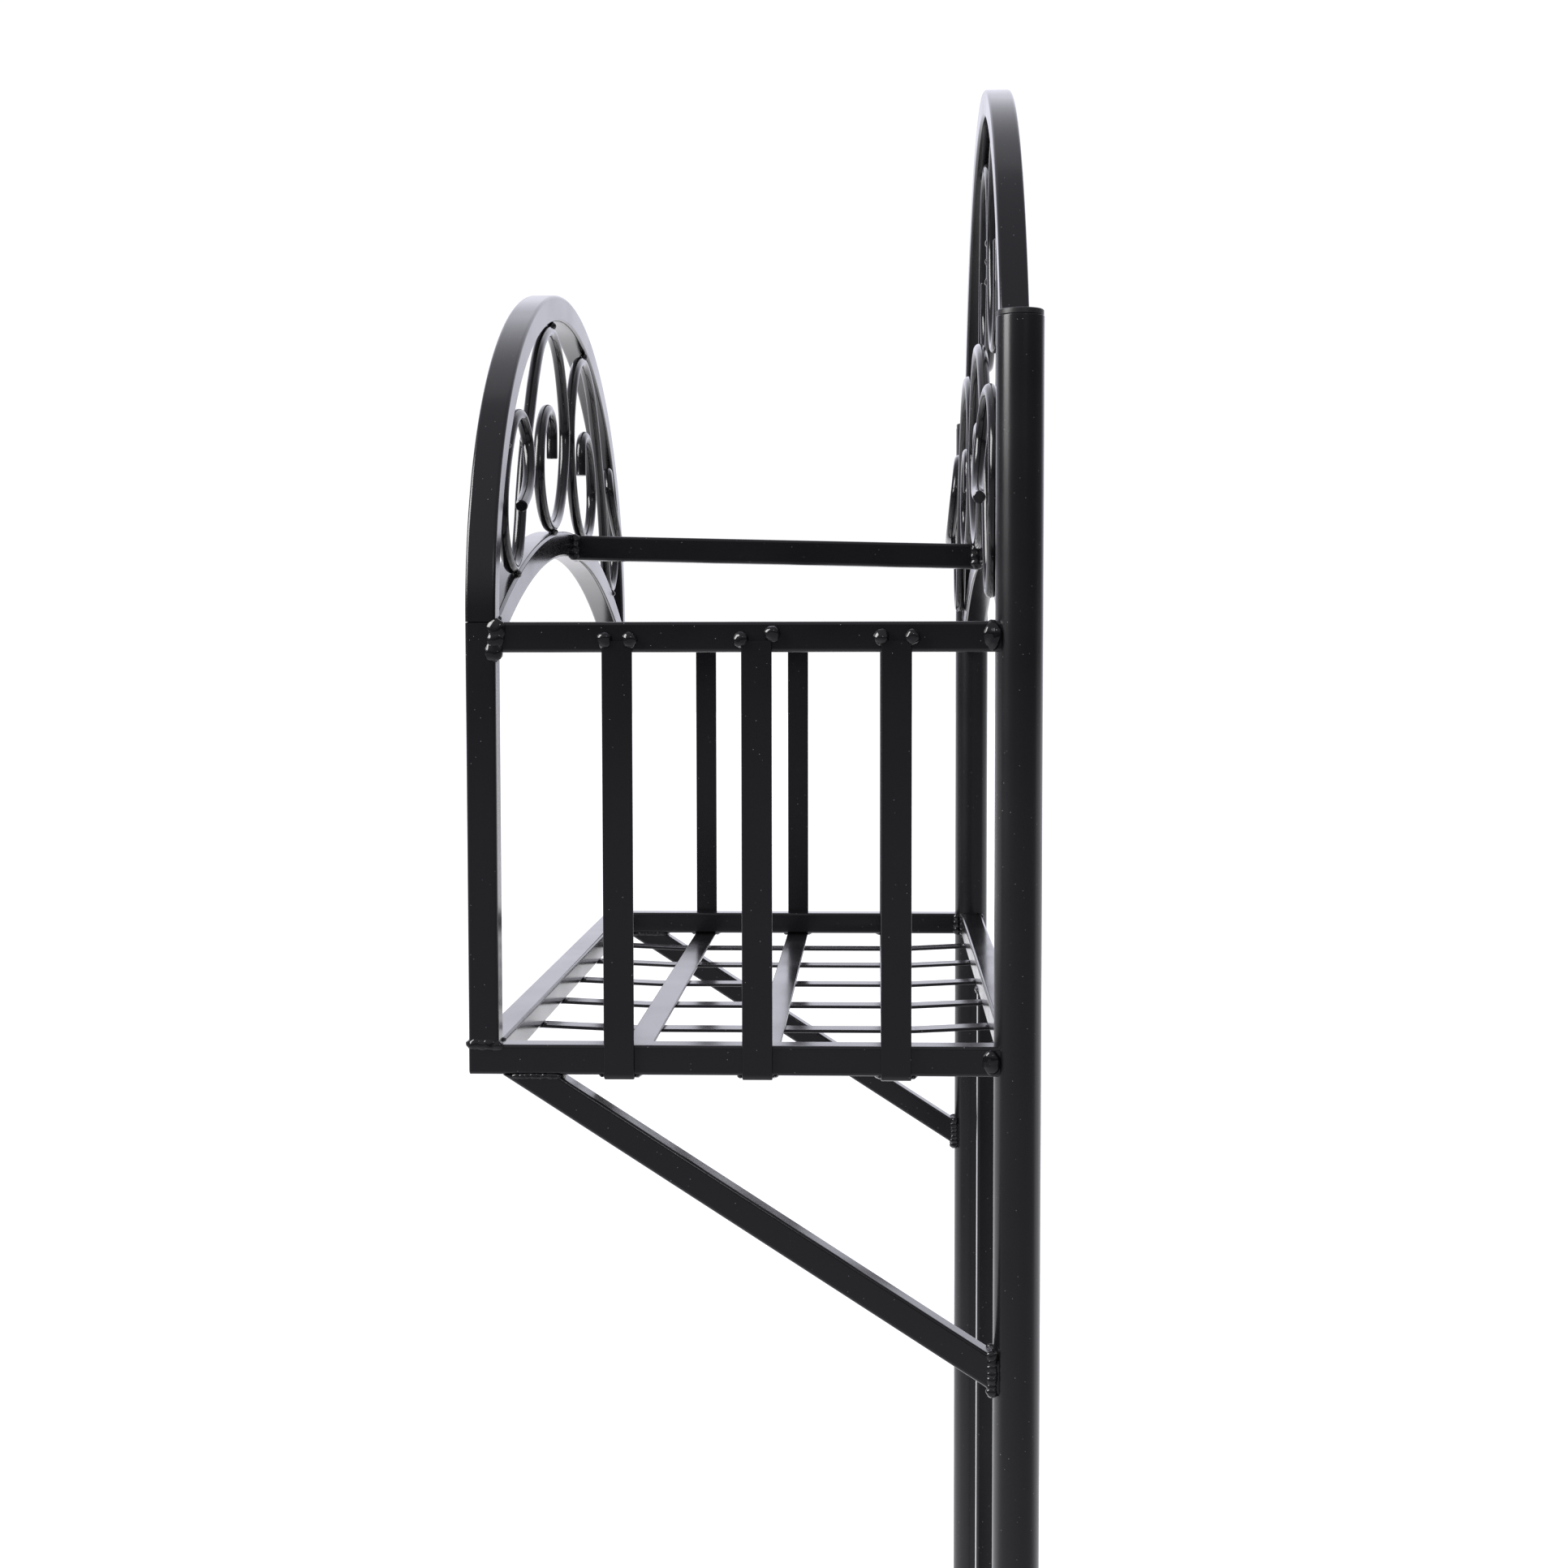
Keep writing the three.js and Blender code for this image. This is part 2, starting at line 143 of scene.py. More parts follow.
# %% [markdown]
# ## Pushing a ring along a line
# Every bar is a ring repeated at each point of its line, turned to face along the line, with the
# rings joined by quads and the ends closed. `across` is the direction that stays fixed while the
# bar bends: an arch bends in an upright plane, so its fixed direction points front to back.


# %% Sweep, finish and hand over a piece
def turn(points, i):
    a = points[max(i - 1, 0)]
    b = points[min(i + 1, len(points) - 1)]
    return (b - a).normalized()


def sweep(bm, points, ring, across, cuts=(None, None), tip=0.0):
    rows = []
    count = len(points)
    for i, p in enumerate(points):
        along = turn(points, i)
        side = along.cross(across).normalized()
        fixed = side.cross(along).normalized()
        spots = [p + side * u + fixed * v for u, v in ring]
        cut = cuts[0] if i == 0 else cuts[1] if i == count - 1 else None
        if cut:
            place, normal = cut
            spots = [s + along * ((place - s).dot(normal) / along.dot(normal)) for s in spots]
        rows.append([bm.verts.new(s) for s in spots])
    for end, inward in ((rows[0], 1), (rows[-1], -1)):
        if tip:
            heart = sum((v.co for v in end), Vector()) / len(end)
            along = turn(points, 0 if inward == 1 else count - 1) * inward
            ring_in = [bm.verts.new(heart + (v.co - heart) * 0.86 - along * tip) for v in end]
            pairs = list(zip(end, end[1:] + end[:1], ring_in[1:] + ring_in[:1], ring_in))
            for quad in pairs:
                bm.faces.new(quad if inward == -1 else tuple(reversed(quad)))
            end = ring_in
        bm.faces.new(end if inward == -1 else list(reversed(end)))
    for low, high in zip(rows, rows[1:]):
        for a, b, c, d in zip(low, low[1:] + low[:1], high[1:] + high[:1], high):
            bm.faces.new((a, b, c, d))


SHARP = math.radians(38)


def finish_piece(name, bm, material, stands_for=(), flats=True):
    bmesh.ops.recalc_face_normals(bm, faces=bm.faces)
    for edge in bm.edges:
        if len(edge.link_faces) == 2 and edge.calc_face_angle(0) > SHARP:
            edge.smooth = False
    for face in bm.faces:
        face.smooth = True
    mesh = bpy.data.meshes.new(name)
    bm.to_mesh(mesh)
    bm.free()
    mesh.materials.append(material)
    piece = bpy.data.objects.new(name, mesh)
    bpy.context.scene.collection.objects.link(piece)
    if flats:
        weight = piece.modifiers.new("even light on flats", "WEIGHTED_NORMAL")
        weight.keep_sharp = True
    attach(piece, "root")
    if stands_for:
        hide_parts(*stands_for)
    return piece


# %% [markdown]
# ## The powder coat
# Powder coat is melted on in an oven. It keeps a faint orange-peel ripple, its gloss wanders a
# little, and dust caught in it shows as pale specks. Three noise patterns at three scales give
# that: a ripple of about two millimetres for the bump, a slow one for the gloss, and rare small
# dots for the dust. They are laid out in the object's own space, so they stay put on the bars.


# %% Mix the finishes
def coat(name, colour, gloss, ripple, specks, ripple_scale=520):
    material = bpy.data.materials.new(name)
    material.use_nodes = True
    nodes, links = material.node_tree.nodes, material.node_tree.links
    shader = nodes["Principled BSDF"]
    shader.inputs["Metallic"].default_value = 0.0
    shader.inputs["IOR"].default_value = 1.47
    place = nodes.new("ShaderNodeTexCoord").outputs["Object"]

    def pattern(kind, scale, detail=2.0):
        node = nodes.new("ShaderNodeTex" + kind)
        node.inputs["Scale"].default_value = scale
        if kind == "Noise":
            node.inputs["Detail"].default_value = detail
        links.new(place, node.inputs["Vector"])
        return node

    slow = pattern("Noise", 14, 2.0)
    span = nodes.new("ShaderNodeMapRange")
    span.inputs["From Min"].default_value = 0.3
    span.inputs["From Max"].default_value = 0.7
    span.inputs["To Min"].default_value = gloss[0]
    span.inputs["To Max"].default_value = gloss[1]
    links.new(slow.outputs["Fac"], span.inputs["Value"])
    links.new(span.outputs["Result"], shader.inputs["Roughness"])

    cells = pattern("Voronoi", 260)
    dots = nodes.new("ShaderNodeMapRange")
    dots.inputs["From Min"].default_value = specks
    dots.inputs["From Max"].default_value = specks * 0.45
    links.new(cells.outputs["Distance"], dots.inputs["Value"])
    tint = nodes.new("ShaderNodeMix")
    tint.data_type = "RGBA"
    tint.inputs["A"].default_value = (*colour, 1)
    tint.inputs["B"].default_value = (0.42, 0.42, 0.44, 1)
    links.new(dots.outputs["Result"], tint.inputs["Factor"])
    cloud = nodes.new("ShaderNodeMix")
    cloud.data_type = "RGBA"
    cloud.blend_type = "MULTIPLY"
    cloud.inputs["Factor"].default_value = 0.25
    links.new(tint.outputs["Result"], cloud.inputs["A"])
    links.new(slow.outputs["Fac"], cloud.inputs["B"])
    links.new(cloud.outputs["Result"], shader.inputs["Base Color"])

    peel = pattern("Noise", ripple_scale, 1.5)
    bump = nodes.new("ShaderNodeBump")
    bump.inputs["Strength"].default_value = ripple
    bump.inputs["Distance"].default_value = 0.05 * MM
    links.new(peel.outputs["Fac"], bump.inputs["Height"])
    links.new(bump.outputs["Normal"], shader.inputs["Normal"])
    return material


BLACK = (0.0062, 0.0060, 0.0068)
TUBE_COAT = coat("powder coat on square tube", BLACK, (0.15, 0.22), 0.07, 0.055)
POST_COAT = coat("powder coat on the posts", BLACK, (0.22, 0.30), 0.10, 0.055)
ROD_COAT = coat("powder coat on round rod", BLACK, (0.12, 0.18), 0.05, 0.055)
FLAT_COAT = coat("powder coat on flat bar", BLACK, (0.15, 0.22), 0.06, 0.055)
WELD_COAT = coat("powder coat over weld beads", BLACK, (0.07, 0.13), 0.04, 0.055, 300)
PLUG_BLACK = coat("moulded black plug", (0.0095, 0.0095, 0.0100), (0.34, 0.48), 0.30, 0.05, 900)
print("finishes:", len(bpy.data.materials))

# %% [markdown]
# ## Posts, caps and foot plugs
# The posts are plain round tube, and each end is closed with a push-in plug: a low disc with a
# rounded edge, a shade smaller than the tube, so a thin groove shows under it. A profile turned
# about the post's axis makes both, the way a lathe would.


# %% Turn the posts and their plugs
def lathe(bm, centre, profile, sides=72):
    rows = []
    for radius, z in profile:
        rows.append(
            [
                bm.verts.new(
                    (
                        centre.x + radius * math.cos(2 * math.pi * i / sides),
                        centre.y + radius * math.sin(2 * math.pi * i / sides),
                        z,
                    )
                )
                for i in range(sides)
            ]
        )
    for low, high in zip(rows, rows[1:]):
        for a, b, c, d in zip(low, low[1:] + low[:1], high[1:] + high[:1], high):
            bm.faces.new((a, b, c, d))
    bm.faces.new(list(reversed(rows[0])))
    bm.faces.new(rows[-1])


def eased(radius, z, edge, up, steps=5):
    """A quarter-round edge of that radius, ending on the flat at height z."""
    out = []
    for i in range(steps + 1):
        a = math.radians(90 * i / steps)
        out.append((radius - edge + edge * math.cos(a), z - up * edge * (1 - math.sin(a))))
    return out


for side in ("left", "right"):
    low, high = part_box("post_" + side)
    centre = middle("post_" + side)
    bm = bmesh.new()
    edge = 0.5 * MM
    wall = [(POST_R, low.z + (high.z - low.z) * i / 12) for i in range(1, 12)]
    lathe(
        bm, centre,
        list(reversed(eased(POST_R, low.z, edge, -1))) + wall + eased(POST_R, high.z, edge, 1),
    )
    finish_piece("post_tube_" + side, bm, POST_COAT, stands_for=["post_" + side])
    for node, up in (("post_cap_", 1), ("foot_plug_", -1)):
        low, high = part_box(node + side)
        outer = (high.x - low.x) / 2
        flat = high.z if up == 1 else low.z
        stem = low.z if up == 1 else high.z
        under = flat - up * 3 * MM
        dome = [(outer * f, flat) for f in (0.6, 0.3)]
        profile = [(POST_R - 2 * MM, stem), (POST_R - 2 * MM, under - up * 0.2 * MM),
                   (outer - 0.3 * MM, under - up * 0.2 * MM), (outer, under + up * 0.1 * MM)]
        profile += eased(outer, flat, 0.9 * MM, up) + dome
        bm = bmesh.new()
        lathe(bm, centre, profile)
        finish_piece(
            node + "disc_" + side, bm, PLUG_BLACK, stands_for=[node + side]
        )

# %% [markdown]
# ## Straight square tubes
# Legs, rails and braces are cut from the same tube. Where a rail meets a round post it is shaped to
# the post; here it simply runs a little way into it. Brace ends are cut on the slant: a flat under
# the rail and an upright face at the post, so the last ring of points slides along the bar until
# it lies on the cutting plane.

# %% Cut and place the straight tubes
X, Y, Z = Vector((1, 0, 0)), Vector((0, 1, 0)), Vector((0, 0, 1))
INTO_POST = 3.5 * MM


def straight(name, a, b, across, stands_for, cuts=(None, None), ring=TUBE_RING, finish=None,
             tip=0.0):
    bm = bmesh.new()
    line = [a.lerp(b, i / 8) for i in range(9)]
    sweep(bm, line, ring, across, cuts, tip)
    return finish_piece(name, bm, finish or TUBE_COAT, stands_for=stands_for)


for side, s in (("left", -1), ("right", 1)):
    x = s * RAIL_X
    for node in ("top_side_rail_", "bottom_side_rail_"):
        low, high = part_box(node + side)
        z = (low.z + high.z) / 2
        straight(
            node.replace("rail_", "tube_") + side,
            Vector((x, low.y, z)), Vector((x, -POST_R + INTO_POST, z)), X, [node + side],
        )
    low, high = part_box("front_leg_" + side)
    straight(
        "front_upright_" + side,
        Vector((x, FRONT_Y, low.z - SEAM)), Vector((x, FRONT_Y, high.z - 0.35 * MM)), Y,
        ["front_leg_" + side], tip=0.3 * MM,
    )
    low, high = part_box("brace_" + side)
    down = Vector((0, math.cos(BRACE_ANGLE), -math.sin(BRACE_ANGLE)))
    top = Vector((x, -BRACE_TOP_Y, BASKET_Z))
    foot = top + down * ((BRACE_TOP_Y - POST_R + INTO_POST) / math.cos(BRACE_ANGLE))
    straight(
        "brace_tube_" + side, top, foot, X, ["brace_" + side],
        cuts=((Vector((0, 0, high.z)), Z), (Vector((0, -POST_R + INTO_POST, 0)), Y)),
    )
for node, name in (("rear_bottom_rail", "rear_floor_tube"), ("low_cross_rail", "low_cross_tube")):
    c = middle(node)
    reach = POST_X - POST_R + INTO_POST
    straight(name, Vector((-reach, 0, c.z)), Vector((reach, 0, c.z)), Y, [node])
low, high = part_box("front_bottom_rail")
c = middle("front_bottom_rail")
straight(
    "front_floor_tube", Vector((low.x - SEAM, c.y, c.z)), Vector((high.x + SEAM, c.y, c.z)), Y,
    ["front_bottom_rail"],
)
low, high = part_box("centre_bar")
straight(
    "centre_upright", Vector((0, 0, low.z - SEAM)), Vector((0, 0, high.z + SEAM)), Y,
    ["centre_bar"],
)
low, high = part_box("tie_bar")
front_end = Vector((0, low.y - SEAM, high.z - HALF))
back_end = Vector((0, high.y + SEAM, low.z + HALF))
straight(
    "tie_tube", front_end, back_end, X, ["tie_bar"],
    cuts=((front_end, Y), (back_end, Y)),
)

# %% [markdown]
# ## Rail end plugs
# The lower side rails run past the front legs, and their ends are closed. The plug is a small
# square with eased corners: two rings, one slightly smaller, give the softened face.

# %% Close the rail ends
for side, s in (("left", -1), ("right", 1)):
    node = "rail_end_plug_" + side
    low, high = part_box(node)
    c = middle(node)
    stops = [(low.y, 0.80), (low.y + 0.15 * MM, 0.93),
             (low.y + 0.6 * MM, 1.0), (low.y + 1.3 * MM, 1.0)]
    bm = bmesh.new()
    rows = []
    for y, share in stops:
        ring = rounded_ring(TUBE * share, TUBE * share, TUBE_CORNER * share)
        rows.append([bm.verts.new((c.x + u, y, c.z + v)) for u, v in ring])
    for a_row, b_row in zip(rows, rows[1:]):
        for a, b, cc, d in zip(a_row, a_row[1:] + a_row[:1], b_row[1:] + b_row[:1], b_row):
            bm.faces.new((a, b, cc, d))
    bm.faces.new(rows[0])
    bm.faces.new(rows[-1])
    finish_piece("end_plug_" + side, bm, PLUG_BLACK, stands_for=[node])

# %% [markdown]
# ## Arches
# The two big arches are half ellipses with the tube bent on the flat, and two shallow arcs close
# the panels below them. The ellipse comes from its half width and its rise, both read from the
# solid's box, and 120 short steps keep the bend smooth to the eye.


# %% Bend the arches
def half_ellipse(half, rise, spring, y, tail=0.0, steps=120):
    line = [Vector((-half, y, spring - tail))] if tail else []
    for i in range(steps + 1):
        a = math.pi * (1 - i / steps)
        line.append(Vector((half * math.cos(a), y, spring + rise * math.sin(a))))
    if tail:
        line.append(Vector((half, y, spring - tail)))
    return line


def shallow_arc(radius, apex, half, y, steps=60):
    reach = math.asin(half / radius)
    return [
        Vector((radius * math.sin(t), y, apex - radius * (1 - math.cos(t))))
        for t in (reach * (2 * i / steps - 1) for i in range(steps + 1))
    ]


FRONT_HALF = size_of("front_arch").x / 2 - HALF
FRONT_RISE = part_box("front_arch")[1].z - HALF - RAIL_TOP
BACK_HALF = size_of("back_arch").x / 2 - HALF
BACK_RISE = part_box("back_arch")[1].z - HALF - RAIL_TOP
BACK_TAIL = RAIL_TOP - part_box("back_arch")[0].z
FRONT_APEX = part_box("front_inner_arch")[1].z - HALF
BACK_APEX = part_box("back_inner_arch")[1].z - HALF


def arc_radius(half, rise):
    return (half**2 + rise**2) / (2 * rise)


FRONT_ARC = (FRONT_APEX, arc_radius(RAIL_X - HALF, FRONT_APEX - RAIL_TOP + FRONT_INNER_DROP))
BACK_ARC = (BACK_APEX, arc_radius(BACK_HALF - HALF, BACK_APEX - RAIL_TOP + BACK_INNER_DROP))

for name, node, line in (
    ("front_arch_tube", "front_arch", half_ellipse(FRONT_HALF, FRONT_RISE, RAIL_TOP, FRONT_Y)),
    ("back_arch_tube", "back_arch", half_ellipse(BACK_HALF, BACK_RISE, RAIL_TOP, 0, BACK_TAIL)),
):
    bm = bmesh.new()
    sweep(bm, line, TUBE_RING, Y)
    finish_piece(name, bm, TUBE_COAT, stands_for=[node])
for name, node, (apex, radius), y, half in (
    ("front_shallow_tube", "front_inner_arch", FRONT_ARC, FRONT_Y, RAIL_X - HALF),
    ("back_shallow_tube", "back_inner_arch", BACK_ARC, 0, BACK_HALF - HALF),
):
    bm = bmesh.new()
    cuts = ((Vector((-half, 0, 0)), X), (Vector((half, 0, 0)), X))
    sweep(bm, shallow_arc(radius, apex, half, y), TUBE_RING, Y, cuts)
    finish_piece(name, bm, TUBE_COAT, stands_for=[node])
print("front arch half width %.1f mm, rise %.1f mm" % (FRONT_HALF / MM, FRONT_RISE / MM))
print("back arch half width %.1f mm, rise %.1f mm" % (BACK_HALF / MM, BACK_RISE / MM))

# %% [markdown]
# ## Straps and floor bars
# Three flat bars are folded into deep U shapes round the side rails, and six more lie under them
# from front to back, bent up a little at both ends to meet the rails. Flat bar has softly rounded
# edges. The fold is a small arc of points in the line that the section follows.


# %% Fold the straps, bend the floor bars
def rounded_line(corners, radius, steps=6):
    line = [corners[0]]
    for before, corner, after in zip(corners, corners[1:], corners[2:]):
        into, out = (corner - before).normalized(), (after - corner).normalized()
        half_turn = into.angle(out) / 2
        if half_turn < 1e-4:
            continue
        back = radius * math.tan(half_turn)
        start, stop = corner - into * back, corner + out * back
        for i in range(steps + 1):
            t = i / steps
            line.append(start * (1 - t) ** 2 + corner * 2 * t * (1 - t) + stop * t**2)
    line.append(corners[-1])
    return line


def filled(line, longest):
    out = [line[0]]
    for a, b in zip(line, line[1:]):
        parts = max(1, math.ceil((b - a).length / longest))
        out += [a.lerp(b, i / parts) for i in range(1, parts + 1)]
    return out


for place in ("front", "middle", "rear"):
    node = "strap_" + place
    low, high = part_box(node)
    y = (low.y + high.y) / 2
    x = high.x - FLAT_T / 2
    base = low.z + FLAT_T / 2
    corners = [Vector((-x, y, high.z)), Vector((-x, y, base)), Vector((x, y, base)),
               Vector((x, y, high.z))]
    bm = bmesh.new()
    sweep(bm, filled(rounded_line(corners, 2.2 * MM), 30 * MM), FLAT_RING, Y)
    finish_piece("folded_strap_" + place, bm, FLAT_COAT, stands_for=[node])

strap_front, strap_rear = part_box("strap_front"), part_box("strap_rear")
for i in FLOOR_BARS:
    node = "floor_bar_%d" % i
    low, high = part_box(node)
    x = (low.x + high.x) / 2
    up, down = high.z - FLAT_T / 2, low.z + FLAT_T / 2
    corners = [Vector((x, low.y, up)), Vector((x, FRONT_Y + HALF, up)),
               Vector((x, strap_front[0].y - FLOOR_BEND, down)),
               Vector((x, strap_rear[1].y + FLOOR_BEND, down)),
               Vector((x, -HALF, up)), Vector((x, high.y, up))]
    bm = bmesh.new()
    sweep(bm, filled(rounded_line(corners, 30 * MM), 30 * MM), FLAT_RING, X)
    finish_piece("floor_slat_%d" % i, bm, FLAT_COAT, stands_for=[node])

# %% [markdown]
# ## Scrolls
# Each scroll is one round rod bent by hand round a peg. Its line runs through a short table of
# points, given as shares of the panel's width and height, and a smooth curve joins them. The free
# end of the small curl stands out of the panel, because the bar laps itself there. The ends are
# sawn, so the tip is flat with a slightly broken edge.

# %% Bend the scroll rods
S_CURL = [
    (0.826, 0.461, 1), (0.753, 0.442, 1), (0.699, 0.514, 0.85), (0.683, 0.647, 0.6),
    (0.713, 0.821, 0.3), (0.773, 0.916, 0.1), (0.846, 0.889, 0), (0.899, 0.752, 0),
    (0.896, 0.447, 0), (0.852, 0.144, 0), (0.789, 0, 0), (0.729, 0.037, 0),
    (0.693, 0.182, 0), (0.666, 0.349, 0), (0.623, 0.531, 0), (0.559, 0.685, 0),
    (0.5, 0.821, 0), (0.406, 0.955, 0), (0.266, 0.985, 0), (0.15, 0.87, 0),
    (0.073, 0.668, 0), (0.043, 0.468, 0), (0.08, 0.224, 0), (0.167, 0.044, 0),
    (0.286, 0.002, 0), (0.38, 0.101, 0), (0.43, 0.281, 0), (0.42, 0.46, 0),
    (0.373, 0.566, 0), (0.306, 0.594, 0), (0.246, 0.513, 0), (0.24, 0.343, 0),
]
C_CURL = [
    (0.308, 0.623, 0), (0.322, 0.473, 0), (0.265, 0.318, 0), (0.161, 0.275, 0),
    (0.068, 0.352, 0), (0.018, 0.524, 0), (0.029, 0.717, 0), (0.093, 0.875, 0),
    (0.208, 0.974, 0), (0.329, 0.989, 0), (0.394, 0.836, 0), (0.426, 0.583, 0),
    (0.44, 0.298, 0), (0.426, 0.03, 0),
]


def smooth_line(points, per_span=14):
    """A centripetal Catmull-Rom curve through the points."""
    ends = [points[0] * 2 - points[1]] + points + [points[-1] * 2 - points[-2]]
    line = []
    for p0, p1, p2, p3 in zip(ends, ends[1:], ends[2:], ends[3:]):
        t0 = 0.0
        t1 = t0 + max((p1 - p0).length ** 0.5, 1e-6)
        t2 = t1 + (p2 - p1).length ** 0.5
        t3 = t2 + max((p3 - p2).length ** 0.5, 1e-6)
        for i in range(per_span):
            t = t1 + (t2 - t1) * i / per_span
            a1 = p0 * ((t1 - t) / (t1 - t0)) + p1 * ((t - t0) / (t1 - t0))
            a2 = p1 * ((t2 - t) / (t2 - t1)) + p2 * ((t - t1) / (t2 - t1))
            a3 = p2 * ((t3 - t) / (t3 - t2)) + p3 * ((t - t2) / (t3 - t2))
            b1 = a1 * ((t2 - t) / (t2 - t0)) + a2 * ((t - t0) / (t2 - t0))
            b2 = a2 * ((t3 - t) / (t3 - t1)) + a3 * ((t - t1) / (t3 - t1))
            line.append(b1 * ((t2 - t) / (t2 - t1)) + b2 * ((t - t1) / (t2 - t1)))
    line.append(points[-1])
    return line


def arc_top(x, arc):
    apex, radius = arc
    return apex - radius + math.sqrt((radius + HALF) ** 2 - x * x)


def ellipse_at(x, half, rise):
    return RAIL_TOP + rise * math.sqrt(max(0.0, 1 - (x / half) ** 2))


SEAT = ROD_R + SCROLL_GAP
FRONT_IN = RAIL_X - HALF - SEAT
BACK_IN = BACK_HALF - HALF - SEAT
LOW_HALF, LOW_CROWN, LOW_RISE = BACK_HALF + 35.2 * MM, BACK_HALF + 105.3 * MM, 174 * MM
HIGH_FOOT = 122 * MM
PANELS = {
    "front_scroll": (
        S_CURL, FRONT_IN, FRONT_Y + HALF - ROD_R, 2 * ROD_R,
        lambda x: arc_top(x, FRONT_ARC) + SEAT,
        lambda x: ellipse_at(x, FRONT_IN, FRONT_RISE - HALF - SEAT),
    ),
    "back_scroll_lower": (
        S_CURL, LOW_HALF - HALF - SEAT, -HALF - SEAM - ROD_R, -2 * ROD_R,
        lambda x: arc_top(x, BACK_ARC) - SEAM,
        lambda x: ellipse_at(x, LOW_CROWN, LOW_RISE),
    ),
    "back_scroll_upper": (
        C_CURL, BACK_IN, 0.0, 0.0,
        lambda x: RAIL_TOP + HIGH_FOOT,
        lambda x: ellipse_at(x, BACK_IN, BACK_RISE - HALF - SEAT),
    ),
}
rod_lines = {}
for panel, (table, half, y, lift, low_of, high_of) in PANELS.items():
    for side, s in (("left", -1), ("right", 1)):
        points = []
        for u, v, out in table:
            x = max(u * half, ROD_R + SEAM)
            z = low_of(x) + v * (high_of(x) - low_of(x))
            points.append(Vector((s * x, y + out * lift, z)))
        line = smooth_line(points)
        rod_lines[panel + "_" + side] = line
        bm = bmesh.new()
        sweep(bm, line, ROD_RING, Y, tip=0.5 * MM)
        finish_piece(
            panel.replace("scroll", "curl") + "_" + side, bm, ROD_COAT,
            stands_for=[panel + "_" + side], flats=False,
        )
    length = sum((b - a).length for a, b in zip(line, line[1:]))
    print(panel, "rod length %.0f mm" % (length / MM))

# %% [markdown]
# ## Weld beads
# Every joint is welded, and the coat runs over the beads, so they show as glossy lumps. Three kinds
# are enough: a single blob, a row of overlapping blobs along a seam, and a blob flattened into a
# corner. Each blob is a fine ball pushed about by noise, so no two are alike.


# %% Shape the beads
def blob(bm, centre, radii, seed, lumps=0.16, detail=3):
    """One bead, its three radii along X, Y and Z."""
    ball = bmesh.ops.create_icosphere(bm, subdivisions=detail, radius=1.0)["verts"]
    shift = Vector((seed * 3.17, seed * 1.31, seed * 0.77))
    for vert in ball:
        swell = 1 + lumps * noise.noise(vert.co * 1.35 + shift)
        swell += 0.35 * lumps * noise.noise(vert.co * 3.6 + shift)
        vert.co = centre + Vector([c * r * swell for c, r in zip(vert.co, radii)])


def seam_row(bm, a, b, radii, count, seed):
    for i in range(count):
        t = i / max(1, count - 1)
        jog = 0.12 * noise.noise(Vector((seed, i * 1.7, 0.3)))
        grow = 1 + 0.22 * noise.noise(Vector((i * 2.3, seed, 0.9)))
        blob(bm, a.lerp(b, t) + Vector(radii) * jog, [r * grow for r in radii], seed + i * 1.9,
             0.2, 3)


def weld_piece(name, bm):
    return finish_piece(name, bm, WELD_COAT, flats=False)


# %% [markdown]
# ### Basket sides
# The strap ends are tacked to the top rail with a round blob on each corner. The rails meet the
# legs and the posts in upright beads, and the lower ones sit where the leg stands on its rail.

